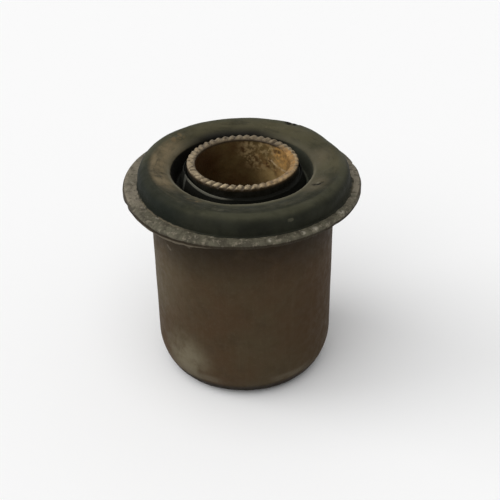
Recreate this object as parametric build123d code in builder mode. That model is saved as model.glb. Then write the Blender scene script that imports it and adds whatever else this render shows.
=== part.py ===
from build123d import *

import os
from math import cos, pi, radians, sin, tan

# Rubber-metal suspension bush: a flanged outer shell of sheet steel, a moulded rubber
# body bonded inside it, and a steel inner tube with serrated ends bonded inside the rubber.
# Millimetres, +Z up along the bush's axis. The origin is the middle of the lower end of
# the inner tube, which is what the bush stands on; the flange is at the top.

# ---- inner tube ----
tube_bore = 23.0  # slides over the pivot shaft
tube_wall = 2.0
tube_length = 57.0
tube_proud_below = 1.5  # stands out below the shell, so that only the tube is clamped
tooth_count = 44  # serrations that bite into the clamping washers
tooth_depth = 0.65
tooth_land = 0.35  # flat left on each crest
tooth_skew = 22.0  # degrees that the serrations lean away from radial

# ---- outer shell ----
shell_diameter = 45.0  # pressed into the eye of the arm
shell_length = 50.5  # lower edge to the flange's top
sheet = 1.6
flange_diameter = 58.0
flange_bend = 1.2  # radius under the flange
flange_rim_chamfer = 0.5
nose_radius = 13.0  # lead-in drawn at the shell's lower end
nose_angle = 35.0

# ---- rubber body ----
lip_height = 4.7  # crest of the buffer lip above the flange
lip_foot_diameter = 51.6
lip_draft = 6.0  # degrees, outer wall of the lip
lip_shoulder_round = 2.4
lip_crest_diameter = 44.0
lip_crest_round = 6.0
lip_mouth_diameter = 34.4
lip_mouth_drop = 1.7  # the lip's inner edge lies this far below the crest
groove_depth = 4.2  # of the groove round the tube, below the lip's inner edge
groove_draft = 14.0  # degrees, outer wall of the groove
groove_width = 0.7  # at the root
collar_drop = 2.4  # the collar on the tube ends this far below the tube's end
collar_thickness = 0.95
end_groove_depth = 7.0  # of the groove in the lower end, above the shell's edge
end_groove_width = 2.2  # at the root
nose_fill_angle = 20.0  # the rubber ends this far round the nose
end_collar_drop = 2.6  # the lower collar ends this far above the tube's lower end
end_collar_thickness = 1.7

# ---- sizes that follow ----
bore_radius = tube_bore / 2
tube_radius = bore_radius + tube_wall
shell_radius = shell_diameter / 2
flange_radius = flange_diameter / 2
shell_base = tube_proud_below
flange_top = shell_base + shell_length
nose_centre = (shell_radius - nose_radius, shell_base + nose_radius * sin(radians(nose_angle)))
bend_centre = (shell_radius + flange_bend, flange_top - sheet - flange_bend)
rim_chamfer_limit = 0.45 * sheet  # leaves a little flat between the rim's two chamfers


def sheet_path(depth, end_angle, reach):
    """One skin of the sheet, a depth in from the outer skin, as edges on the XZ plane: the
    nose from end_angle up, the barrel, the bend, and the flange out to the radius reach."""
    nose = CenterArc(nose_centre, nose_radius - depth, -end_angle, end_angle)
    bend = CenterArc(bend_centre, flange_bend + depth, 180, -90)
    barrel = Line(nose @ 1, bend @ 0)
    flange = Line(bend @ 1, (reach, flange_top - sheet + depth))
    return nose, barrel, bend, flange


# ---- outer shell: drawn from one sheet, flanged at the top, nosed in at the bottom ----
with BuildPart() as outer_sleeve:
    with BuildSketch(Plane.XZ):
        with BuildLine():
            outer_skin = sheet_path(0, nose_angle, flange_radius)
            inner_skin = sheet_path(sheet, nose_angle, flange_radius)
            Line(outer_skin[0] @ 0, inner_skin[0] @ 0)
            Line(outer_skin[3] @ 1, inner_skin[3] @ 1)
        make_face()
    revolve(axis=Axis.Z)
    rim = outer_sleeve.edges().filter_by(GeomType.CIRCLE).group_by(SortBy.RADIUS)[-1]
    chamfer(rim, length=min(flange_rim_chamfer, rim_chamfer_limit))
outer_sleeve.part.label = "outer_sleeve"

# ---- inner tube: cut from steel tube, both ends serrated in a press ----
tooth_circle = (bore_radius + tube_radius) / 2
notch_half_width = (2 * pi * tooth_circle / tooth_count - tooth_land) / 2
notch_along = (cos(radians(tooth_skew)), -sin(radians(tooth_skew)), 0)
notch_across = (sin(radians(tooth_skew)), cos(radians(tooth_skew)), 0)
notch_plane = Plane((tooth_circle, 0, tube_length), x_dir=notch_across, z_dir=notch_along)

# One V-shaped notch in each end, drawn twice as wide and deep as it cuts, so that its
# mouth is clear of the tube's end.
with BuildPart() as notches:
    with BuildSketch(notch_plane):
        with BuildLine():
            Polyline(
                (0, -tooth_depth),
                (2 * notch_half_width, tooth_depth),
                (-2 * notch_half_width, tooth_depth),
                close=True,
            )
        make_face()
    extrude(amount=tube_wall, both=True)
    mirror(about=Plane.XY.offset(tube_length / 2))

with BuildPart() as inner_sleeve:
    with BuildSketch():
        Circle(tube_radius)
        Circle(bore_radius, mode=Mode.SUBTRACT)
    extrude(amount=tube_length)
    with PolarLocations(0, tooth_count):
        add(notches.part, mode=Mode.SUBTRACT)
inner_sleeve.part.label = "inner_sleeve"

# ---- rubber body: moulded and vulcanised between the shell and the tube ----
# Corners with a moulding radius under half a millimetre are drawn sharp.
lip_foot_radius = lip_foot_diameter / 2
lip_crest = flange_top + lip_height
lip_shoulder_radius = lip_foot_radius - lip_height * tan(radians(lip_draft))
lip_mouth_radius = lip_mouth_diameter / 2
lip_mouth = lip_crest - lip_mouth_drop
groove_root = lip_mouth - groove_depth
groove_outer_radius = lip_mouth_radius - groove_depth * tan(radians(groove_draft))
collar_radius = tube_radius + collar_thickness
collar_rim = tube_length - collar_drop
end_collar_radius = tube_radius + end_collar_thickness
end_groove_root = shell_base + end_groove_depth
end_groove_middle = (tube_radius + shell_radius - sheet) / 2

with BuildPart() as rubber_body:
    with BuildSketch(Plane.XZ):
        with BuildLine():
            bonded_to_shell = sheet_path(sheet, nose_fill_angle, lip_foot_radius)
            lip = FilletPolyline(
                bonded_to_shell[3] @ 1,
                (lip_shoulder_radius, lip_crest),
                (lip_crest_diameter / 2, lip_crest),
                (lip_mouth_radius, lip_mouth),
                radius=[lip_shoulder_round, lip_crest_round],
            )
            groove = Polyline(
                lip @ 1,
                (groove_outer_radius, groove_root),
                (groove_outer_radius - groove_width, groove_root),
                (collar_radius, collar_rim),
                (tube_radius, collar_rim),
            )
            end_groove = Polyline(
                bonded_to_shell[0] @ 0,
                (end_groove_middle + end_groove_width / 2, end_groove_root),
                (end_groove_middle - end_groove_width / 2, end_groove_root),
                (end_collar_radius, end_collar_drop),
                (tube_radius, end_collar_drop),
            )
            Line(groove @ 1, end_groove @ 1)
        make_face()
    revolve(axis=Axis.Z)
rubber_body.part.label = "rubber_body"

# ---- one file for each piece ----
os.makedirs("parts", exist_ok=True)
for piece in (outer_sleeve, inner_sleeve, rubber_body):
    export_step(piece.part, f"parts/{piece.part.label}.step")
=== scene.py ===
from math import atan2, cos, degrees, exp, hypot, pi, radians, sin

import bmesh
import bpy
from mathutils import Matrix, Vector, noise


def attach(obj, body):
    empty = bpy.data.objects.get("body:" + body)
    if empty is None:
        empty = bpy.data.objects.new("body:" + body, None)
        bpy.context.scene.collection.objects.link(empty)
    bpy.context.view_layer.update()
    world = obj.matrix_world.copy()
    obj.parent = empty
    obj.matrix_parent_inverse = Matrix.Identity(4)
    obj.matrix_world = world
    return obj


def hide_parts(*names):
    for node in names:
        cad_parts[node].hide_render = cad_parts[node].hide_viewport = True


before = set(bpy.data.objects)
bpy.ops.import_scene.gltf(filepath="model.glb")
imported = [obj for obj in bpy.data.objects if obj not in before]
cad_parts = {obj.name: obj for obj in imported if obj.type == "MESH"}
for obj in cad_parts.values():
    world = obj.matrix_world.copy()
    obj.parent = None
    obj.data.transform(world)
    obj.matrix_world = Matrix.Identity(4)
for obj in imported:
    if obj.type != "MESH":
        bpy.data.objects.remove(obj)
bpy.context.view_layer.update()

# ---- camera ----
# Stands a quarter of a metre away and looks down on the bush, a little past the middle
# of its axis.
aim = Vector((0, 0, 0.0291))
distance = 0.25
elevation = radians(34.1)
turn_left = radians(0.4)
turn_up = radians(0.37)
roll = radians(-1.13)
lens = 70.32

down_the_view = Vector((0, cos(elevation), -sin(elevation)))
side = Vector((1, 0, 0))
up = side.cross(down_the_view)
turned_left = down_the_view * cos(turn_left) + side * sin(turn_left)
looking = turned_left * cos(turn_up) + up * sin(turn_up)
level_x = looking.cross(up).normalized()
level_y = level_x.cross(looking)
camera_x = level_x * cos(roll) + level_y * sin(roll)
camera_y = level_y * cos(roll) - level_x * sin(roll)

camera = bpy.data.objects.new("camera", bpy.data.cameras.new("camera"))
camera.data.lens = lens
camera.data.sensor_width = 36
camera.data.clip_start = 0.01
camera.data.clip_end = 20
camera.matrix_world = Matrix((camera_x, camera_y, -looking)).transposed().to_4x4()
camera.location = aim - down_the_view * distance
bpy.context.scene.collection.objects.link(camera)
bpy.context.scene.camera = camera
bpy.context.scene.view_settings.view_transform = "Standard"

# ---- floor and light ----
# A pale, plain floor in even daylight, with a broad lamp overhead and a weaker one low on
# the left. The surroundings show as plain white, also where the steel reflects them.
floor_reach = 3.0
floor_colour = (0.95, 0.95, 0.95, 1)
floor_roughness = 0.95
floor_gloss = 0.1
daylight = 0.42
lamps = {  # strength, spread in degrees, and where the light comes from
    "overhead": (1.65, 75, (-0.30, -0.35, 0.90)),
    "left": (0.95, 40, (-0.90, 0.10, 0.38)),
}


def node(tree, kind, inputs, **settings):
    """A shader node whose inputs are fed by other nodes' outputs or hold plain values."""
    made = tree.nodes.new("ShaderNode" + kind)
    for name, value in settings.items():
        setattr(made, name, value)
    for name, value in inputs.items():
        if isinstance(value, bpy.types.NodeSocket):
            tree.links.new(value, made.inputs[name])
        elif made.inputs[name].type == "RGBA":
            made.inputs[name].default_value = (*value[:3], 1)
        else:
            made.inputs[name].default_value = value
    return made


floor_sheet = bmesh.new()
bmesh.ops.create_grid(floor_sheet, x_segments=1, y_segments=1, size=floor_reach)
floor = bpy.data.objects.new("floor", bpy.data.meshes.new("floor"))
floor_sheet.to_mesh(floor.data)
floor_sheet.free()
bpy.context.scene.collection.objects.link(floor)

floor_paint = bpy.data.materials.new("pale_floor")
floor_paint.use_nodes = True
paint = floor_paint.node_tree.nodes["Principled BSDF"]
paint.inputs["Base Color"].default_value = floor_colour
paint.inputs["Roughness"].default_value = floor_roughness
paint.inputs["Specular IOR Level"].default_value = floor_gloss
floor.data.materials.append(floor_paint)

for name, (strength, spread, origin) in lamps.items():
    lamp = bpy.data.objects.new(name, bpy.data.lights.new(name, "SUN"))
    lamp.data.energy = strength
    lamp.data.angle = radians(spread)
    lamp.rotation_euler = Vector(origin).to_track_quat("Z", "Y").to_euler()
    bpy.context.scene.collection.objects.link(lamp)

studio = bpy.data.worlds.new("studio")
bpy.context.scene.world = studio
studio.use_nodes = True
sky = studio.node_tree
surround = sky.nodes["Background"]
surround.inputs["Color"].default_value = (1, 1, 1, 1)
surround.inputs["Strength"].default_value = daylight
backdrop = node(sky, "Background", {"Color": (1, 1, 1), "Strength": 1})
rays = node(sky, "LightPath", {}).outputs
seen = rays["Is Camera Ray"]
for mirrored in (rays["Is Glossy Ray"], rays["Is Transmission Ray"]):
    seen = node(sky, "Math", {0: seen, 1: mirrored}, operation="MAXIMUM").outputs[0]
either = node(sky, "MixShader", {0: seen, 1: surround.outputs[0], 2: backdrop.outputs[0]})
sky.links.new(either.outputs[0], sky.nodes["World Output"].inputs["Surface"])

# ---- outer shell ----
# The flanged sleeve that is pressed into the eye of the arm: 1.6 mm sheet steel, drawn to a
# cup with a rounded nose, trimmed round its rim in a press and phosphated. The rim is worn
# bright in spots, knocked down a little on one side, and its shears left a burr there.
barrel_radius = 22.5
flange_radius = 29.0
flange_under = 50.4
flange_top = 52.0
shell_outline = [  # radius, height and rounding of each corner, in millimetres
    (20.149, 1.5, 0.25),
    (barrel_radius, 4.857, 3.8),
    (barrel_radius, flange_under, 1.2),
    (flange_radius, flange_under, 0.25),
    (flange_radius, 50.8, 0),
    (flange_radius, 50.95, 0),
    (flange_radius, 51.1, 0),
    (flange_radius, flange_top, 0.85),
    (20.9, flange_top, 2.8),
    (20.9, 5.362, 3.3),
    (18.838, 2.417, 0.3),
]
shell_run = 1.1  # the mesh's steps along the outline, in millimetres
shell_steps = 288  # and round the axis
rim_trim = 0.09  # how far the rim is trimmed short, and how far that wavers
rim_chatter = 0.06  # and how far the shears jumped
rim_nicks = [  # azimuth, width in degrees and depth
    (-71, 2.2, 0.25),
    (-28, 1.3, 0.20),
    (12, 1.6, 0.22),
    (47, 2.0, 0.20),
    (104, 1.4, 0.30),
    (171, 2.4, 0.25),
]
burr_from = -60  # azimuths between which the shears left a burr
burr_to = -14
burr_depth = 0.34  # the cut face is torn back this far above it
burr_hang = 0.30  # and it hangs this far below the sheet
knock = 0.6  # the rim is bent down this far
knock_place = (-33, 17)  # azimuth and width in degrees
flange_waver = 0.07  # how far the sheet strays from flat and round
barrel_waver = 0.05
nose_waver = 0.12

phosphate_red = (0.054, 0.0320, 0.0150)
phosphate_olive = (0.055, 0.0395, 0.0200)
phosphate_dark = (0.036, 0.0230, 0.0110)
phosphate_pale = (0.088, 0.068, 0.041)
phosphate_brown = (0.046, 0.0245, 0.0092)
phosphate_thin = (0.138, 0.117, 0.076)
nose_pale = (0.110, 0.090, 0.060)
foot_shade = (0.010, 0.0075, 0.0045)
shade_and_grime = (0.0170, 0.0110, 0.0055)
rim_grey = (0.112, 0.103, 0.072)
rim_dark = (0.052, 0.046, 0.032)
rim_pale = (0.240, 0.208, 0.156)
rim_shade_black = (0.028, 0.022, 0.014)
burr_pale = (0.125, 0.105, 0.074)
bare_steel = (0.33, 0.30, 0.24)
scraped_steel = (0.125, 0.105, 0.078)
shell_roughness = (0.58, 0.78)
bare_roughness = 0.45
shell_gloss = 0.10

# Patches are a place, and how far from it they are still whole and quite gone.
brown_side = ((24, -8, 20), 8, 26)
lit_left_side = ((-22, -8, 32), 5, 17)
whole_wear = ((-15, -17, 10.2), 7, 13)  # elsewhere the worn places are broken up
nose_rubs_and_highlights = [((11.5, -18.5, 6), 3, 7), ((-10, -19, 6), 2, 6)]
lit_rim_sides = [((-29, -1, 52), 7, 18), ((29, -2, 52), 6, 15)]
rim_shade_sides = [((-29, 5, 52), 15, 22), ((29, 5, 52), 12, 19), ((0, 29, 52), 20, 30)]
knocked_rim = ((-15.8, -24.3, 51), 2, 16)
burr_rub_and_light = ((-17.5, -22.5, 50.6), 7, 14)
bright_places = [  # on the flange: x, y and reach
    (-22.9, -12.6, 1.0),
    (-19.5, -17.6, 0.8),
    (-10.3, -25.5, 0.7),
    (6.0, -27.5, 0.9),
    (13.4, -24.8, 0.8),
    (16.2, -23.1, 1.1),
    (22.6, -16.5, 1.3),
]
worn_places = [  # place, reach and how far the coating has gone
    ((-15.0, -17.0, 10.2), 10, 0.85),
    ((13.5, 18.3, 11.5), 11, 0.75),
    ((22.0, 5.0, 8.5), 9, 0.60),
    ((-22.2, 4.5, 27.0), 13, 0.60),
    ((8.0, 21.1, 33.0), 12, 0.50),
    ((19.6, 11.0, 26.0), 12, 0.50),
]
scrapes = [  # their ends and widths
    ((-17.9, -13.7, 41.8), (-17.3, -14.4, 41.4), 0.8),
    ((-13.2, -18.2, 44.9), (-12.2, -18.9, 44.7), 0.8),
    ((22.4, 1.5, 40.0), (22.2, 3.6, 35.0), 0.5),
    ((22.3, 2.6, 18.0), (22.5, 0.6, 14.5), 0.6),
    ((-1.0, 22.5, 22.0), (1.6, 22.4, 24.6), 0.6),
    ((-12.0, 19.0, 44.0), (-13.2, 18.2, 41.0), 0.5),
    ((-22.0, 4.6, 15.0), (-22.4, 2.4, 16.4), 0.7),
]


def rise(value, low, high):
    """Goes smoothly from 0 at low to 1 at high."""
    share = min(max((value - low) / (high - low), 0), 1)
    return share * share * (3 - 2 * share)


def swell(value, middle, width):
    """A smooth hump of height 1 round middle."""
    return exp(-(((value - middle) / width) ** 2))


def turned(outline, run, steps):
    """A closed ring of rounded corners turned round the axis, as a mesh in millimetres."""
    ring = bmesh.new()
    corners = [ring.verts.new((radius, 0, height)) for radius, height, rounding in outline]
    for start, end in zip(corners, corners[1:] + corners[:1]):
        ring.edges.new((start, end))
    for corner, (radius, height, rounding) in zip(corners, outline):
        if rounding:
            bmesh.ops.bevel(
                ring,
                geom=[corner],
                affect="VERTICES",
                offset=rounding,
                offset_type="OFFSET",
                segments=max(4, round(2 * rounding / run)),
                profile=0.5,
                material=-1,
            )
    for edge in ring.edges[:]:
        cuts = min(int(edge.calc_length() / run), 20)
        if cuts:
            bmesh.ops.subdivide_edges(ring, edges=[edge], cuts=cuts)
    bmesh.ops.spin(
        ring,
        geom=ring.verts[:] + ring.edges[:],
        cent=(0, 0, 0),
        axis=(0, 0, 1),
        angle=2 * pi,
        steps=steps,
        use_merge=True,
    )
    bmesh.ops.remove_doubles(ring, verts=ring.verts, dist=1e-4)
    bmesh.ops.recalc_face_normals(ring, faces=ring.faces)
    return ring


def bearing(point):
    """A point's distance from the axis, the way outwards there, and its azimuth from the front."""
    radius = hypot(point.co.x, point.co.y)
    outward = Vector((point.co.x, point.co.y, 0)) / radius
    return radius, outward, degrees(atan2(outward.x, -outward.y))


def in_the_bush(name, ring, finish):
    """Puts a turned ring into the scene, in metres, with its finish."""
    bmesh.ops.scale(ring, vec=(0.001, 0.001, 0.001), verts=ring.verts)
    piece = bpy.data.objects.new(name, bpy.data.meshes.new(name))
    ring.to_mesh(piece.data)
    ring.free()
    piece.data.shade_smooth()
    piece.data.materials.append(finish)
    bpy.context.scene.collection.objects.link(piece)
    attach(piece, "root")
    return piece


def between(tree, value, low, high):
    """A mask that goes smoothly from 0 at low to 1 at high; low may be the larger."""
    ends = {"Value": value, "From Min": low, "From Max": high}
    return node(tree, "MapRange", ends, interpolation_type="SMOOTHSTEP").outputs[0]


def past(tree, length, low, high):
    """The same mask along a height, a radius or a gap, with its ends in millimetres."""
    return between(tree, length, low / 1000, high / 1000)


def mottle(tree, at, scale, low, high, detail=4):
    """Cloudy patches, as many to the metre as scale, cut off between low and high."""
    grain = {"Vector": at, "Scale": scale, "Detail": detail, "Roughness": 0.6}
    return between(tree, node(tree, "TexNoise", grain).outputs[0], low, high)


def gap_to(tree, at, place):
    """How far a point lies from a place given in millimetres."""
    ends = {0: at, 1: Vector(place) / 1000}
    return node(tree, "VectorMath", ends, operation="DISTANCE").outputs["Value"]


def near(tree, at, place, whole, gone):
    """A patch round a place given in millimetres: 1 within whole, 0 beyond gone."""
    return past(tree, gap_to(tree, at, place), gone, whole)


def both(tree, *masks):
    """Several masks multiplied together."""
    product = masks[0]
    for mask in masks[1:]:
        product = node(tree, "Math", {0: product, 1: mask}, operation="MULTIPLY").outputs[0]
    return product


def any_of(tree, *masks):
    """Where at least one of several masks is on."""
    most = masks[0]
    for mask in masks[1:]:
        most = node(tree, "Math", {0: most, 1: mask}, operation="MAXIMUM").outputs[0]
    return most


def near_any(tree, at, patches):
    """Several patches as one mask."""
    return any_of(tree, *[near(tree, at, *patch) for patch in patches])


def stroke(tree, at, start, end, width):
    """A mask along a straight stroke between two places, all given in millimetres."""
    start, end = Vector(start) / 1000, Vector(end) / 1000
    line = end - start
    along = line / line.length_squared
    gone = node(tree, "VectorMath", {0: at, 1: start}, operation="SUBTRACT").outputs[0]
    share = node(tree, "VectorMath", {0: gone, 1: along}, operation="DOT_PRODUCT")
    share = node(tree, "Clamp", {"Value": share.outputs["Value"]}).outputs[0]
    foot = node(tree, "VectorMath", {0: line, "Scale": share}, operation="SCALE").outputs[0]
    gap = node(tree, "VectorMath", {0: gone, 1: foot}, operation="DISTANCE").outputs["Value"]
    return past(tree, gap, 0.65 * width, 0.45 * width)


def strokes(tree, at, lines):
    """Several strokes as one mask."""
    return any_of(tree, *[stroke(tree, at, *line) for line in lines])


def coat(tree, below, above, *cover):
    """One colour laid over another where all the masks of cover are on."""
    sheets = {0: both(tree, *cover), 6: below, 7: above}
    return node(tree, "Mix", sheets, data_type="RGBA").outputs[2]


def relief(tree, height, depth, under=None):
    """Raises the surface by depth millimetres where height is 1."""
    inputs = {"Height": height, "Distance": depth / 1000, "Strength": 1}
    if under:
        inputs["Normal"] = under
    return node(tree, "Bump", inputs).outputs[0]


def roughness(tree, patches, low, high):
    """Roughness from low to high, as the mask patches says."""
    return node(tree, "MapRange", {"Value": patches, "To Min": low, "To Max": high}).outputs[0]


def off_axis(tree, at, through):
    """How far a point lies from an upright line through a place given in millimetres."""
    off = {0: at, 1: Vector(through) / 1000}
    off = node(tree, "VectorMath", off, operation="SUBTRACT").outputs[0]
    flat = node(tree, "VectorMath", {0: off, 1: (1, 1, 0)}, operation="MULTIPLY").outputs[0]
    return node(tree, "VectorMath", {0: flat}, operation="LENGTH").outputs["Value"]


def started(name):
    """A new finish: its shader tree, its surface, and where on the bush a point lies."""
    finish = bpy.data.materials.new(name)
    finish.use_nodes = True
    tree = finish.node_tree
    at = node(tree, "TexCoord", {}).outputs["Object"]
    height = node(tree, "SeparateXYZ", {0: at}).outputs["Z"]
    radius = off_axis(tree, at, (0, 0, 0))
    return finish, tree, tree.nodes["Principled BSDF"], at, height, radius


shell = turned(shell_outline, shell_run, shell_steps)
for point in shell.verts:
    radius, outward, azimuth = bearing(point)
    height = point.co.z

    # The rim's trimmed edge, its nicks and its burr.
    wavering = rim_trim * noise.noise(outward * 1.9) + rim_chatter * noise.noise(outward * 11)
    inward = rise(radius, 27.6, flange_radius) * (rim_trim + wavering)
    for place, width, depth in rim_nicks:
        inward += rise(radius, 28.0, flange_radius) * depth * swell(azimuth, place, width)
    burr = rise(azimuth, burr_from - 6, burr_from + 4) * rise(azimuth, burr_to + 6, burr_to - 8)
    burr *= 0.75 + 0.5 * noise.noise(outward * 23)
    inward += burr_depth * burr * swell(height, 51.05, 0.2) * rise(radius, 28.4, 28.9)
    point.co -= outward * max(inward, 0)
    point.co.z -= knock * swell(azimuth, *knock_place) * rise(radius, 26.2, 28.8)
    point.co.z -= burr_hang * burr * rise(radius, 28.2, 28.8) * rise(height, 50.9, 50.5)

    # The sheet itself, not quite flat and round.
    flange = rise(radius, 24, 28.5)
    point.co.z += flange_waver * flange * noise.noise(outward * 1.5 + Vector((4, 2, 7)))
    barrel = rise(radius, 20.0, 22.0) * rise(height, 50, 46) * rise(height, 2, 8)
    on_barrel = Vector((point.co.x, point.co.y, height))
    point.co -= outward * barrel_waver * barrel * (0.5 + noise.noise(on_barrel * 0.13))
    nose = rise(height, 4.5, 1.6)
    point.co.z += nose_waver * nose * noise.noise(outward * 5 + Vector((0, 0, 3)))

shell_steel, tree, surface, at, height, radius = started("shell_steel")
upright = node(tree, "VectorMath", {0: at, 1: (1, 1, 0.05)}, operation="MULTIPLY").outputs[0]

# The barrel: phosphate, patchy and streaked lengthwise, worn thin in places, with painted light on
# its left, painted shade under the flange and round its foot, and painted highlights on its nose.
skin = coat(tree, phosphate_red, phosphate_olive, mottle(tree, at, 45, 0.35, 0.65, 5))
skin = coat(tree, skin, phosphate_dark, mottle(tree, at, 190, 0.45, 0.75, 6), 0.45)
skin = coat(tree, skin, phosphate_pale, mottle(tree, at, 1100, 0.5, 0.8), 0.2)
skin = coat(tree, skin, phosphate_brown, near(tree, at, *brown_side), 0.75)
# Paler on the left: painted light on the barrel's left side.
lit_left = both(tree, near(tree, at, *lit_left_side), mottle(tree, at, 150, 0.0, 0.6))
skin = coat(tree, skin, phosphate_pale, lit_left, 0.60)
worn = [both(tree, near(tree, at, place, 2, reach), bared) for place, reach, bared in worn_places]
broken = any_of(tree, near(tree, at, *whole_wear), mottle(tree, at, 170, 0.46, 0.62, 6))
thinned = both(tree, any_of(tree, *worn), broken, mottle(tree, at, 200, 0.25, 0.6, 6))
skin = coat(tree, skin, phosphate_thin, thinned)
skin = coat(tree, skin, phosphate_pale, mottle(tree, upright, 900, 0.50, 0.80), 0.14)
skin = coat(tree, skin, phosphate_dark, mottle(tree, upright, 1300, 0.50, 0.80), 0.14)
# Darker below the flange: painted shade where the flange overhangs, with some grime.
shaded_under_flange = both(tree, past(tree, height, 33.0, 46.5), mottle(tree, at, 120, 0.0, 0.5, 5))
skin = coat(tree, skin, shade_and_grime, shaded_under_flange, 0.8)
# Pale strips on the nose: rubbed coating, and painted highlights where its rounded edge catches
# the light.
on_nose = both(tree, past(tree, height, 4.2, 5.0), past(tree, height, 7.4, 6.2))
nose_rubbed_and_lit = both(tree, near_any(tree, at, nose_rubs_and_highlights), mottle(tree, at, 240, 0.2, 0.55, 5))
skin = coat(tree, skin, nose_pale, on_nose, nose_rubbed_and_lit, 0.50)
# Dark round the lowest edge: painted shade where the nose turns under towards the floor.
foot = both(tree, past(tree, height, 4.8, 3.0), mottle(tree, at, 350, 0.0, 0.45))
skin = coat(tree, skin, foot_shade, foot, 0.9)
scraped = both(tree, strokes(tree, at, scrapes), mottle(tree, at, 1400, 0.38, 0.62))
skin = coat(tree, skin, scraped_steel, scraped, 0.5)

# The flange: grey, pitted, paler at the sides as painted light, and bright in spots.
rim_skin = coat(tree, rim_dark, rim_grey, mottle(tree, at, 420, 0.3, 0.7, 6))
# Paler at the left and right: painted light on the flange's sides.
rubbed_and_lit = both(tree, near_any(tree, at, lit_rim_sides), mottle(tree, at, 250, 0.2, 0.6, 6))
rim_skin = coat(tree, rim_skin, rim_pale, rubbed_and_lit, 0.75)
rim_skin = coat(tree, rim_skin, rim_dark, mottle(tree, at, 850, 0.48, 0.36, 3), 0.70)
rim_skin = coat(tree, rim_skin, rim_pale, mottle(tree, at, 1000, 0.54, 0.66, 3), 0.50)
spots = near_any(tree, at, [((x, y, flange_top), 0.2, reach) for x, y, reach in bright_places])
bright = any_of(
    tree,
    both(tree, mottle(tree, at, 640, 0.62, 0.74, 5), 0.6),
    both(tree, spots, mottle(tree, at, 1200, 0.36, 0.58, 3), 0.75),
)
rim_skin = coat(tree, rim_skin, bare_steel, bright)
on_flange = both(tree, past(tree, height, 50.0, 50.7), past(tree, radius, 23.3, 24.0))
skin = coat(tree, skin, rim_skin, on_flange)

# The rim's edge: a dark line of painted shade along it, painted shade on the lower cut face, and
# the burr rubbed pale and lightened as a painted highlight.
# A dark line along the rim's outer edge at the sides and back: painted shade.
rim_shade_line = both(tree, past(tree, radius, 28.35, 28.65), near_any(tree, at, rim_shade_sides))
skin = coat(tree, skin, rim_shade_black, rim_shade_line, 0.85)
unbent = {0: near(tree, at, *knocked_rim), 1: knock / 1000, 2: height}
unbent = node(tree, "Math", unbent, operation="MULTIPLY_ADD").outputs[0]
# The lower cut face darker: painted shade under the rim's edge, and in the groove where it is torn
# back above the burr.
cut_face = both(tree, past(tree, radius, 28.2, 28.5), past(tree, unbent, 51.35, 51.00))
skin = coat(tree, skin, shade_and_grime, cut_face, 0.85)
# The burr's edge: rubbed pale, and lightened as a painted highlight where it catches the light.
burr_edge = both(tree, near(tree, at, *burr_rub_and_light), past(tree, unbent, 50.8, 50.6))
burr_rubbed_and_lit = both(tree, cut_face, burr_edge, mottle(tree, at, 450, 0.2, 0.5))
skin = coat(tree, skin, burr_pale, burr_rubbed_and_lit, 0.75)
tree.links.new(skin, surface.inputs["Base Color"])

bare = both(tree, bright, on_flange)
tree.links.new(both(tree, bare, 0.7), surface.inputs["Metallic"])
rough = roughness(tree, mottle(tree, at, 500, 0.3, 0.7), *shell_roughness)
rough = node(tree, "Mix", {0: bare, 2: rough, 3: bare_roughness}).outputs[0]
tree.links.new(rough, surface.inputs["Roughness"])
surface.inputs["Specular IOR Level"].default_value = shell_gloss
grain = relief(tree, mottle(tree, at, 1900, 0.2, 0.8), 0.012)
grain = relief(tree, mottle(tree, at, 420, 0.2, 0.8), 0.035, grain)
grain = relief(tree, both(tree, mottle(tree, at, 1050, 0.40, 0.60, 3), on_flange), 0.06, grain)
grain = relief(tree, both(tree, mottle(tree, at, 900, 0.6, 0.75), on_flange), -0.10, grain)
tree.links.new(grain, surface.inputs["Normal"])

outer_shell = in_the_bush("outer_shell", shell, shell_steel)
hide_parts("outer_sleeve")

# ---- rubber body ----
# Moulded and cured in place between the two sleeves, so it is bonded to both. A buffer lip
# stands on the flange, a groove parts it from the collar on the tube, and both end in thin
# moulding flash. Dust lies on the lip, and handling has nicked it.
lip_crest = 56.75
rubber_outline = [
    (25.95, 51.9, 0),
    (25.85, 52.1, 0),
    (25.65, 52.25, 0.12),
    (25.4, lip_crest, 2.3),
    (21.8, lip_crest, 1.3),
    (17.25, 55.15, 0.6),
    (16.15, 50.8, 0.3),
    (15.45, 50.8, 0.3),
    (14.45, 54.3, 0.15),
    (14.38, 54.85, 0.1),
    (14.16, 54.85, 0.1),
    (14.05, 54.3, 0.1),
    (13.45, 54.3, 0),
    (13.45, 2.6, 0),
    (15.2, 2.6, 0.3),
    (16.1, 8.5, 0.7),
    (18.3, 8.5, 0.7),
    (20.21, 5.06, 0.2),
    (20.94, 6.95, 1.8),
    (20.94, 51.96, 2.8),
]
rubber_run = 0.6
rubber_steps = 320
moulding_shift = Vector((0.50, -0.90, 0))  # the lip sits this far off the flange's middle
lip_back = Vector((-0.17, 0.98, 0))  # towards here the lip reaches out further
lip_back_reach = 0.72
lip_back_raised = 0.12  # and stands a little higher
lip_drawn_in = 0.45  # the lip is drawn in a little at lip_waist
lip_waist = (120, 14)  # azimuth and width in degrees
lip_waver = 0.10
feather = 0.50  # rubber squeezed out at the lip's foot
feather_place = (84, 26)
tube_length = 57.0
tube_lean = Vector((0.28, 0.42, 0))  # the tube's top stands off true, and the collar with it
lean_from = 10  # the height from which it leans
lip_nicks = [  # azimuth, distance from the axis, width in degrees and depth
    (149.5, 23.4, 1.3, 0.8),
    (145.5, 23.5, 1.0, 0.6),
    (-133, 21.8, 1.5, 0.3),
    (-130, 22.6, 1.0, 0.3),
    (25, 24.4, 1.0, 0.35),
]
collar_drop = 0.85  # the collar's edge lies lower than moulded
collar_climb = 1.45  # but climbs the tube here
collar_climb_place = (-75, 42)

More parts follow.
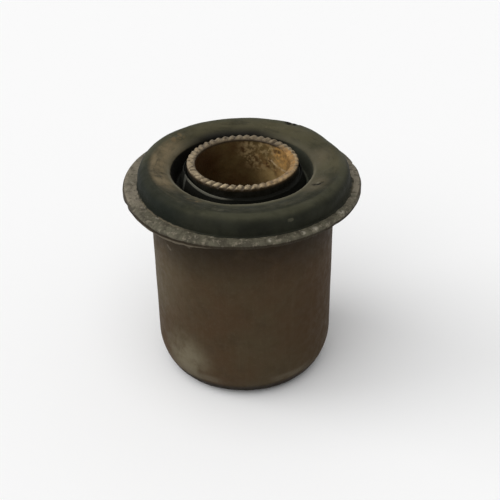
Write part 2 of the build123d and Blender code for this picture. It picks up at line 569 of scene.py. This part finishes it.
rubber_black = (0.0100, 0.0105, 0.0065)
rubber_worn = (0.0175, 0.0180, 0.0112)
rubber_green = (0.0100, 0.0112, 0.0060)
rubber_dusty = (0.0660, 0.0590, 0.0325)
rubber_streak = (0.070, 0.064, 0.040)
highlight_pale = (0.135, 0.125, 0.090)
shoulder_grey = (0.050, 0.049, 0.030)
shoulder_black = (0.0065, 0.0085, 0.0055)
rubbed_grey = (0.078, 0.074, 0.050)
brown_dust = (0.180, 0.139, 0.080)
mouth_dust = (0.105, 0.088, 0.055)
edge_dust = (0.078, 0.070, 0.045)
edge_pale = (0.118, 0.110, 0.070)
edge_highlight_pale = (0.165, 0.150, 0.105)
throat_black = (0.0045, 0.0040, 0.0026)
nick_black = (0.006, 0.005, 0.003)
fleck_brown = (0.125, 0.088, 0.044)
shade_black = (0.0026, 0.0020, 0.0006)
recess_grey = (0.040, 0.041, 0.029)
collar_shade_black = (0.0042, 0.0042, 0.0026)
collar_highlight_grey = (0.070, 0.070, 0.058)
collar_highlight_pale = (0.125, 0.120, 0.094)
flash_brown = (0.125, 0.105, 0.070)
rubber_roughness = (0.60, 0.78)
rubber_gloss = 0.09

dust_and_light_back = [((2, 31, 56), 14, 52), ((22, 0, 56), 2, 14)]
dusty_left = ((-18, 0, 56), 7.5, 15)
dark_side = ((-22, -12, 53.5), 7, 15)
dark_shoulder = ((-22, -12, 55), 9, 17)
mouth_dust_places = [((17.8, 3, 55.6), 1.5, 6), ((16.2, -10.0, 55.8), 2, 5.5)]
front_edge = ((2, -22, 56), 9, 19)
throat = ((-3, 19, 56), 6, 17)
nick_shadows = [((12.1, 20.7, 56.3), 0.4, 1.5), ((13.9, 19.8, 56.3), 0.4, 1.4)]
lit_recess = ((16, 5, 54.2), 5, 12)
collar_front = ((-9.3, -10.7, 54.9), 5, 8.5)
flash_places = [((-20.5, -16.5, 52), 6, 14), ((26, 3, 52), 8, 14)]
flecks = [  # of rust, shed by the tube
    ((-11.5, -16.5, 55.6), 0.3, 2.0),
    ((-10.2, -17.3, 55.5), 0.3, 1.6),
    ((-15.6, 14.3, 56.5), 0.3, 2.0),
    ((-16.8, 12.7, 56.5), 0.3, 1.8),
]
rubs = [  # scrapes on the lip: their ends and widths
    ((-6.4, -21.8, 56.5), (-4.6, -22.3, 56.5), 1.0),
    ((2.4, -25.1, 55.2), (4.6, -24.9, 55.2), 1.0),
    ((10.1, -24.3, 54.9), (10.9, -23.9, 54.9), 0.7),
    ((-12.6, -14.6, 55.9), (-10.4, -16.0, 55.9), 1.6),
    ((-16.4, 14.0, 56.5), (-15.0, 15.2, 56.5), 1.2),
]
collar_highlight = ((-13.7, -4.3, 55.4), (-14.6, -4.6, 52.4), 1.5)
dent = (17.6, -9.9, 56.3)  # middle of a crescent left by a tool
dent_radius = 1.2
dent_depth = 0.25

body = turned(rubber_outline, rubber_run, rubber_steps)
for point in body.verts:
    radius, outward, azimuth = bearing(point)
    height = point.co.z
    moulding = rise(radius, 20.5, 24.5) * rise(height, 51.6, 51.9)
    reach = lip_back_reach * rise(outward.dot(lip_back), 0.25, 0.8)
    reach -= lip_drawn_in * swell(azimuth, *lip_waist)
    point.co += (moulding_shift + outward * reach) * moulding
    point.co += tube_lean * rise(height, lean_from, tube_length) * rise(radius, 18, 15)

    # The lip's top wavers a little, and so does its foot, where rubber was squeezed out.
    lip = rise(radius, 16.6, 17.4) * rise(height, 52.3, 53.2)
    point.co.z += lip_back_raised * lip * rise(outward.dot(lip_back), 0.1, 0.7)
    wavering = lip_waver * noise.noise(point.co * 0.16) + 0.03 * noise.noise(point.co * 0.7)
    point.co.z += lip * (wavering - 0.05)
    point.co += outward * lip * lip_waver * noise.noise(point.co * 0.11 + Vector((9, 1, 0)))
    at_foot = rise(radius, 25.0, 25.6)
    ragged = 0.14 * noise.noise(outward * 4) + 0.24 * noise.noise(outward * 26)
    point.co += outward * rise(height, 53.0, 52.2) * at_foot * ragged
    squeezed = swell(azimuth, *feather_place) * rise(height, 52.45, 52.2) * at_foot
    point.co += outward * squeezed * (feather + 0.4 * noise.noise(outward * 9))

    # The mouth's edge, the nicks, and the collar's ragged edge on the tube.
    mouth = swell(height, 55.0, 0.6) * rise(radius, 18.2, 17.4) * rise(radius, 16.4, 16.9)
    ragged = 0.12 * noise.noise(outward * 3) + 0.10 * noise.noise(outward * 24)
    point.co += outward * mouth * ragged
    for place, middle, width, depth in lip_nicks:
        point.co.z -= lip * depth * swell(azimuth, place, width) * swell(radius, middle, 0.8)
    collar = rise(height, 51.5, 54.0) * rise(radius, 15.6, 15.2) * rise(radius, 13.6, 13.9)
    ragged = 0.12 * noise.noise(outward * 2.2) + 0.08 * noise.noise(outward * 17)
    climb = collar_climb * swell(azimuth, *collar_climb_place)
    point.co.z += collar * (ragged - collar_drop + climb)

body_rubber, tree, surface, at, height, radius = started("body_rubber")
lip_radius = off_axis(tree, at, moulding_shift)
collar_radius = off_axis(tree, at, tube_lean)
backwards = node(tree, "SeparateXYZ", {0: at}).outputs["Y"]
on_top = past(tree, height, 54.3, 55.3)
in_rings = node(tree, "VectorMath", {0: at, 1: (1, 1, 0)}, operation="MULTIPLY").outputs[0]
in_rings = node(tree, "VectorMath", {0: in_rings}, operation="NORMALIZE").outputs[0]
in_rings = node(tree, "VectorMath", {0: in_rings, "Scale": 0.005}, operation="SCALE").outputs[0]
outwards = node(tree, "CombineXYZ", {"Z": lip_radius}).outputs[0]
in_rings = node(tree, "VectorMath", {0: in_rings, 1: outwards}, operation="ADD").outputs[0]

# The lip: dust that settled on its top, in rings, heavier towards the back where it is also
# painted light, a pale ring of dust and painted highlight along its shoulder, and its darker
# shoulder.
skin = coat(tree, rubber_black, rubber_worn, mottle(tree, at, 160, 0.35, 0.65, 5))
# Heavier towards the back: dust, and painted light where the back of the lip is brighter.
settled_and_lit = any_of(tree, near_any(tree, at, dust_and_light_back), 0.12)
settled_and_lit = both(tree, settled_and_lit, mottle(tree, at, 110, 0.15, 0.6, 6))
top_skin = coat(tree, rubber_green, rubber_dusty, settled_and_lit)
top_skin = coat(tree, top_skin, rubber_streak, mottle(tree, in_rings, 800, 0.42, 0.70, 5), 0.35)
top_skin = coat(tree, top_skin, rubber_black, mottle(tree, in_rings, 700, 0.50, 0.30, 5), 0.45)
# A paler ring along the shoulder: dust, and a painted highlight on its crest.
shoulder_dust_and_highlight = both(tree, past(tree, lip_radius, 22.4, 23.4), mottle(tree, at, 200, 0.2, 0.6, 5))
top_skin = coat(tree, top_skin, shoulder_grey, shoulder_dust_and_highlight, 0.85)
skin = coat(tree, skin, shoulder_black, near(tree, at, *dark_side), 0.8)
skin = coat(tree, skin, top_skin, on_top, past(tree, lip_radius, 25.4, 24.1))
left_shoulder = both(tree, near(tree, at, *dark_shoulder), past(tree, lip_radius, 22.2, 23.6))
skin = coat(tree, skin, shoulder_black, left_shoulder, 0.7)

# Brown dust on the left and by the mouth, specks, rubs and flecks of rust.
dusty = both(tree, near(tree, at, *dusty_left), past(tree, radius, 22.8, 21.2), on_top)
drifts = mottle(tree, at, 210, 0.25, 0.58, 6)
swept = mottle(tree, in_rings, 1100, 0.12, 0.56, 6)
skin = coat(tree, skin, brown_dust, dusty, drifts, swept, 0.88)
by_mouth = both(tree, near_any(tree, at, mouth_dust_places), mottle(tree, at, 260, 0.1, 0.5, 5))
skin = coat(tree, skin, mouth_dust, by_mouth, 0.6)
specks = both(tree, mottle(tree, at, 1500, 0.64, 0.76, 2), past(tree, lip_radius, 24.0, 22.5))
skin = coat(tree, skin, brown_dust, specks, on_top, 0.3)
rubbed_and_lit = both(tree, strokes(tree, at, rubs), mottle(tree, at, 600, 0.33, 0.62))
skin = coat(tree, skin, rubbed_grey, rubbed_and_lit, 0.55)
rusty = both(tree, near_any(tree, at, flecks), mottle(tree, at, 1100, 0.45, 0.58, 3))
skin = coat(tree, skin, fleck_brown, rusty, 0.8)

# The mouth: a dusty edge, pale in front, a painted highlight along its rounded edge in front, and
# painted shade in the throat behind the tube.
dusty_edge = both(tree, past(tree, radius, 19.6, 17.4), mottle(tree, at, 150, 0.0, 0.4, 5))
skin = coat(tree, skin, edge_dust, dusty_edge, on_top, 0.7)
pale_edge = both(tree, past(tree, radius, 20.8, 17.2), near(tree, at, *front_edge), on_top)
skin = coat(tree, skin, edge_pale, pale_edge, 0.65)
# A bright line along the front of the mouth's rounded edge: painted highlight.
edge_highlight = both(tree, past(tree, radius, 18.2, 17.6), on_top, past(tree, backwards, 3, -7))
skin = coat(tree, skin, edge_highlight_pale, edge_highlight, mottle(tree, at, 300, 0.1, 0.5, 5), 0.8)
shaded = both(tree, past(tree, radius, 20.3, 17.3), near(tree, at, *throat))
skin = coat(tree, skin, throat_black, shaded, 0.97)
nicked = both(tree, near_any(tree, at, nick_shadows), mottle(tree, at, 900, 0.30, 0.50))
skin = coat(tree, skin, nick_black, nicked)

# The dent: a dark crescent of painted shade round rubber that was pushed up, which is lightened as
# a painted highlight.
from_dent = gap_to(tree, at, dent)
crescent = both(
    tree,
    past(tree, from_dent, dent_radius - 0.55, dent_radius - 0.15),
    past(tree, from_dent, dent_radius + 0.55, dent_radius + 0.10),
    past(tree, backwards, dent[1] + 0.3, dent[1] - 1.1),
    mottle(tree, at, 1100, 0.34, 0.52),
)
skin = coat(tree, skin, shade_black, crescent)
# Paler where the rubber was pushed up: painted highlight.
pushed_up_highlight = both(tree, past(tree, from_dent, 1.10, 0.10), mottle(tree, at, 1500, 0.40, 0.62))
skin = coat(tree, skin, highlight_pale, pushed_up_highlight, 0.6)

# The groove and the collar, with painted shade, painted light and painted highlights on them, and
# the flash at the lip's foot.
# The groove: painted shade, with a painted pool of light on its right wall.
groove_shade = both(tree, past(tree, radius, 17.8, 17.4), past(tree, height, 55.0, 54.6))
groove_shade_skin = coat(tree, shade_black, recess_grey, near(tree, at, *lit_recess))
skin = coat(tree, skin, groove_shade_skin, groove_shade)
# The collar darkened: painted shade down in the groove.
collar = both(tree, past(tree, radius, 16.0, 15.6), past(tree, height, 56.2, 55.8))
skin = coat(tree, skin, collar_shade_black, collar)
# A paler streak on the collar's left flank: painted highlight.
skin = coat(tree, skin, collar_highlight_grey, stroke(tree, at, *collar_highlight), 0.70)
# A pale line along the collar's raised edge in front: painted highlight.
collar_edge_highlight = both(
    tree,
    past(tree, collar_radius, 14.49, 14.43),
    past(tree, collar_radius, 14.16, 14.26),
    past(tree, height, 53.8, 54.1),
    near(tree, at, *collar_front),
    mottle(tree, at, 160, 0.2, 0.5, 3),
)
skin = coat(tree, skin, collar_highlight_pale, collar_edge_highlight, 0.9)
outer_foot = both(tree, past(tree, height, 52.4, 52.1), past(tree, radius, 23.5, 24.5))
flash = both(tree, outer_foot, near_any(tree, at, flash_places), mottle(tree, at, 500, 0.3, 0.5))
skin = coat(tree, skin, flash_brown, flash, 0.85)
tree.links.new(skin, surface.inputs["Base Color"])

rough = roughness(tree, mottle(tree, at, 300, 0.3, 0.7), *rubber_roughness)
tree.links.new(rough, surface.inputs["Roughness"])
surface.inputs["Specular IOR Level"].default_value = rubber_gloss
moulded = relief(tree, mottle(tree, at, 2300, 0.2, 0.8), 0.02)
moulded = relief(tree, mottle(tree, at, 350, 0.2, 0.8, 6), 0.07, moulded)
moulded = relief(tree, crescent, -dent_depth, moulded)
tree.links.new(moulded, surface.inputs["Normal"])

rubber = in_the_bush("rubber_moulding", body, body_rubber)
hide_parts("rubber_body")

# ---- inner tube ----
# The sleeve that the pivot bolt clamps: steel tube cut to length, with 44 slanting
# serrations pressed into each end. Its bore and ends are bare, and have rusted.
bore_radius = 11.5
tube_radius = 13.5
tube_outline = [
    (bore_radius, tube_length, 0.3),
    (bore_radius, 55.2, 0),
    (bore_radius, 1.8, 0),
    (bore_radius, 0.0, 0.3),
    (tube_radius, 0.0, 0.4),
    (tube_radius, 1.8, 0),
    (tube_radius, 55.2, 0),
    (tube_radius, tube_length, 0.4),
]
tube_run = 0.33
tooth_count = 44
steps_per_tooth = 8
tooth_depth = 0.65
tooth_lean = 0.404  # across for each millimetre outwards
tooth_circle = 12.5
tooth_crest = 1.6  # the higher, the sharper the crests
tooth_scatter = 0.10
tooth_crown = 0.10  # the teeth fall off to both sides of their circle
worn_round = 0.38  # share of their depth that the upper teeth have lost, except in front
worn_spots = [(0.60, 48, 30), (0.30, -80, 30)]  # and at two azimuths, each with its width
edge_wear = 0.50  # their inner edge is worn down this far
edge_slope = (0.55, 92, 42)  # and slopes away on the right
chipped_teeth = [(-139, 1.2), (-128, 1.0), (140, 1.2), (150, 1.0), (-40, 0.7)]
chip_depth = 0.35

fresh_steel = (0.285, 0.226, 0.145)
highlight_steel = (0.41, 0.325, 0.205)
gilded_steel = (0.300, 0.203, 0.104)
dull_steel = (0.118, 0.090, 0.057)
scored_steel = (0.62, 0.47, 0.27)
tooth_dirt_and_shade = (0.030, 0.019, 0.009)
tube_oxide = (0.0062, 0.0056, 0.0032)
rust_shade_black = (0.026, 0.0095, 0.0028)
rust_brown = (0.060, 0.029, 0.010)
rust_pit = (0.050, 0.018, 0.006)
rust_gold = (0.108, 0.078, 0.029)
rust_ochre = (0.230, 0.112, 0.030)
rust_bright = (0.46, 0.265, 0.098)
rust_flake = (0.42, 0.31, 0.155)
rust_khaki = (0.40, 0.285, 0.120)
rust_yellow = (0.62, 0.345, 0.105)
rust_edge = (0.190, 0.112, 0.042)
tube_roughness = (0.40, 0.62)
tube_gloss = 0.15

rust_and_shade_left = ((-11.5, 2, 49), 6, 14)
rust_and_light_right = ((10.0, -3.5, 51), 6, 18)
khaki_rust = ((9.5, 7.0, 46), 2, 9)
flaked_rust = ((4.8, 11.0, 53.4), 3, 7)
ochre_rust = ((11.2, 3.4, 55.6), 2, 6)
yellow_rust = ((10.0, 5.6, 54.4), 2, 5.5)
stained_rust = ((9, 6, 54), 4, 10)
rust_pits = [((7.1, 9.6, 51.6), 0.4, 1.5), ((6.6, 9.9, 50.2), 0.4, 1.5)]
blooming_rust = ((9, 7.5, 53), 4, 9)
rust_streak = ((8.3, 8.6, 54.6), (9.6, 7.0, 55.2), 1.0)
score_line = [
    (7.53, 9.33, 51.65),
    (8.64, 8.29, 50.82),
    (9.84, 6.79, 50.48),
    (11.06, 4.38, 51.09),
]
score_width = 0.50
gilded_teeth = ((12, -6, 57), 5, 14)
dull_teeth = ((0, 13, 57), 9, 17)
teeth_highlight = ((-2.5, -12.5, 57), 2, 9)
rusty_edge = ((12.2, 0.8, 56.5), 4, 9)

tube = turned(tube_outline, tube_run, tooth_count * steps_per_tooth)
for point in tube.verts:
    radius = hypot(point.co.x, point.co.y)
    turn = atan2(point.co.y, point.co.x)
    azimuth = degrees(turn) + 90
    azimuth -= 360 * (azimuth > 180)
    top = point.co.z > tube_length / 2
    from_end = tube_length - point.co.z if top else point.co.z
    reach = rise(from_end, 1.6, 0.25)

    # Teeth lean across the wall, and no two are quite alike.
    tooth = tooth_count * turn / (2 * pi)
    lean = -tooth_lean * (radius - tooth_circle) / tooth_circle * reach
    crest = abs(sin(pi * tooth)) ** tooth_crest
    scatter = 0.5 + noise.noise(Vector((int(tooth // 1) * 1.7, 3.1, top)))

    # The upper ones are worn lower, except in front, and their inner edge is worn down too.
    worn = worn_round * rise(abs(azimuth), 35, 75)
    for share, place, width in worn_spots:
        worn += share * swell(azimuth, place, width)
    cut = tooth_depth * (1 - worn * top) * (1 - crest) + tooth_scatter * reach * scatter
    cut += tooth_crown * (radius - tooth_circle) ** 2
    slope, place, width = edge_slope
    cut += slope * top * swell(azimuth, place, width) * rise(radius, 12.7, 11.7)
    for place, width in chipped_teeth:
        chip = swell(azimuth, place, width) * swell(radius, tooth_circle, 0.45)
        cut += chip_depth * top * chip
    cut = max(cut, edge_wear * top * rise(radius, 12.25, 11.6))

    point.co.x = radius * cos(turn + lean)
    point.co.y = radius * sin(turn + lean)
    point.co += tube_lean * rise(point.co.z, lean_from, tube_length)
    point.co.z += (-1 if top else 1) * reach * cut

tube_steel, tree, surface, at, height, radius = started("tube_steel")

# The bore: brown rust, darker on the left partly as painted shade, rubbed and flaked to gold on
# the right and lightened there as painted light, with one score across it.
rust = coat(tree, rust_brown, rust_gold, mottle(tree, at, 140, 0.25, 0.75, 5))
# Darker on the left: rust, deepened by painted shade.
rust = coat(tree, rust, rust_shade_black, near(tree, at, *rust_and_shade_left), 0.75)
# Paler on the right: rubbed rust, and painted light where the lamp reaches into the bore.
rubbed_and_lit = both(tree, near(tree, at, *rust_and_light_right), mottle(tree, at, 260, 0.20, 0.58, 6))
rust = coat(tree, rust, rust_bright, rubbed_and_lit, 0.9)
rubbed_and_lit = both(tree, near(tree, at, *khaki_rust), mottle(tree, at, 230, 0.20, 0.60, 6))
rust = coat(tree, rust, rust_khaki, rubbed_and_lit, 0.75)
flaked = both(tree, near(tree, at, *flaked_rust), mottle(tree, at, 900, 0.44, 0.60, 5))
rust = coat(tree, rust, rust_flake, flaked, 0.55)
ochre = both(tree, near(tree, at, *ochre_rust), mottle(tree, at, 640, 0.38, 0.58, 5))
rust = coat(tree, rust, rust_ochre, ochre, 0.85)
yellow = both(tree, near(tree, at, *yellow_rust), mottle(tree, at, 760, 0.42, 0.58, 4))
rust = coat(tree, rust, rust_yellow, yellow, 0.75)
stained = both(tree, near(tree, at, *stained_rust), mottle(tree, at, 430, 0.54, 0.66, 5))
rust = coat(tree, rust, rust_brown, stained, 0.75)
pitted = both(tree, near_any(tree, at, rust_pits), mottle(tree, at, 1000, 0.40, 0.55))
rust = coat(tree, rust, rust_pit, pitted, 0.85)
blooming = both(tree, near(tree, at, *blooming_rust), mottle(tree, at, 720, 0.50, 0.66, 4))
rust = coat(tree, rust, rust_bright, blooming, 0.32)
score = strokes(tree, at, [(*ends, score_width) for ends in zip(score_line, score_line[1:])])
rust = coat(tree, rust, scored_steel, score, mottle(tree, at, 900, 0.25, 0.6), 0.6)
streak = both(tree, stroke(tree, at, *rust_streak), mottle(tree, at, 700, 0.30, 0.60))
rust = coat(tree, rust, rust_brown, streak, 0.75)
skin = coat(tree, tube_oxide, rust, past(tree, radius, 12.40, 12.20))

# The ends: bright crests with dirt and painted shade between them, rusty at the worn inner edge.
raised = any_of(tree, past(tree, height, 56.2, 56.8), past(tree, height, 0.8, 0.2))
crest_skin = coat(tree, fresh_steel, gilded_steel, near(tree, at, *gilded_teeth))
crest_skin = coat(tree, crest_skin, dull_steel, near(tree, at, *dull_teeth), 0.6)
# Brighter teeth in front: painted highlight.
crest_skin = coat(tree, crest_skin, highlight_steel, near(tree, at, *teeth_highlight))
# Dark between the crests: dirt, and painted shade in the valleys.
end_skin = coat(tree, tooth_dirt_and_shade, crest_skin, raised, mottle(tree, at, 900, 0.25, 0.6))
at_an_end = any_of(tree, past(tree, height, 55.6, 56.2), past(tree, height, 1.4, 0.8))
skin = coat(tree, skin, end_skin, at_an_end)
edge_skin = coat(tree, rust_edge, rust, mottle(tree, at, 640, 0.30, 0.60), 0.6)
inner_edge = both(tree, near(tree, at, *rusty_edge), past(tree, radius, 13.05, 12.75))
skin = coat(tree, skin, edge_skin, inner_edge)
tree.links.new(skin, surface.inputs["Base Color"])

tree.links.new(both(tree, raised, 0.35), surface.inputs["Metallic"])
rough = roughness(tree, mottle(tree, at, 600, 0.3, 0.7), *tube_roughness)
tree.links.new(rough, surface.inputs["Roughness"])
surface.inputs["Specular IOR Level"].default_value = tube_gloss
rusted = relief(tree, mottle(tree, at, 2100, 0.2, 0.8), 0.03)
rusted = relief(tree, mottle(tree, at, 520, 0.3, 0.75, 6), 0.08, rusted)
tree.links.new(rusted, surface.inputs["Normal"])

inner_tube = in_the_bush("inner_tube", tube, tube_steel)
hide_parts("inner_sleeve")
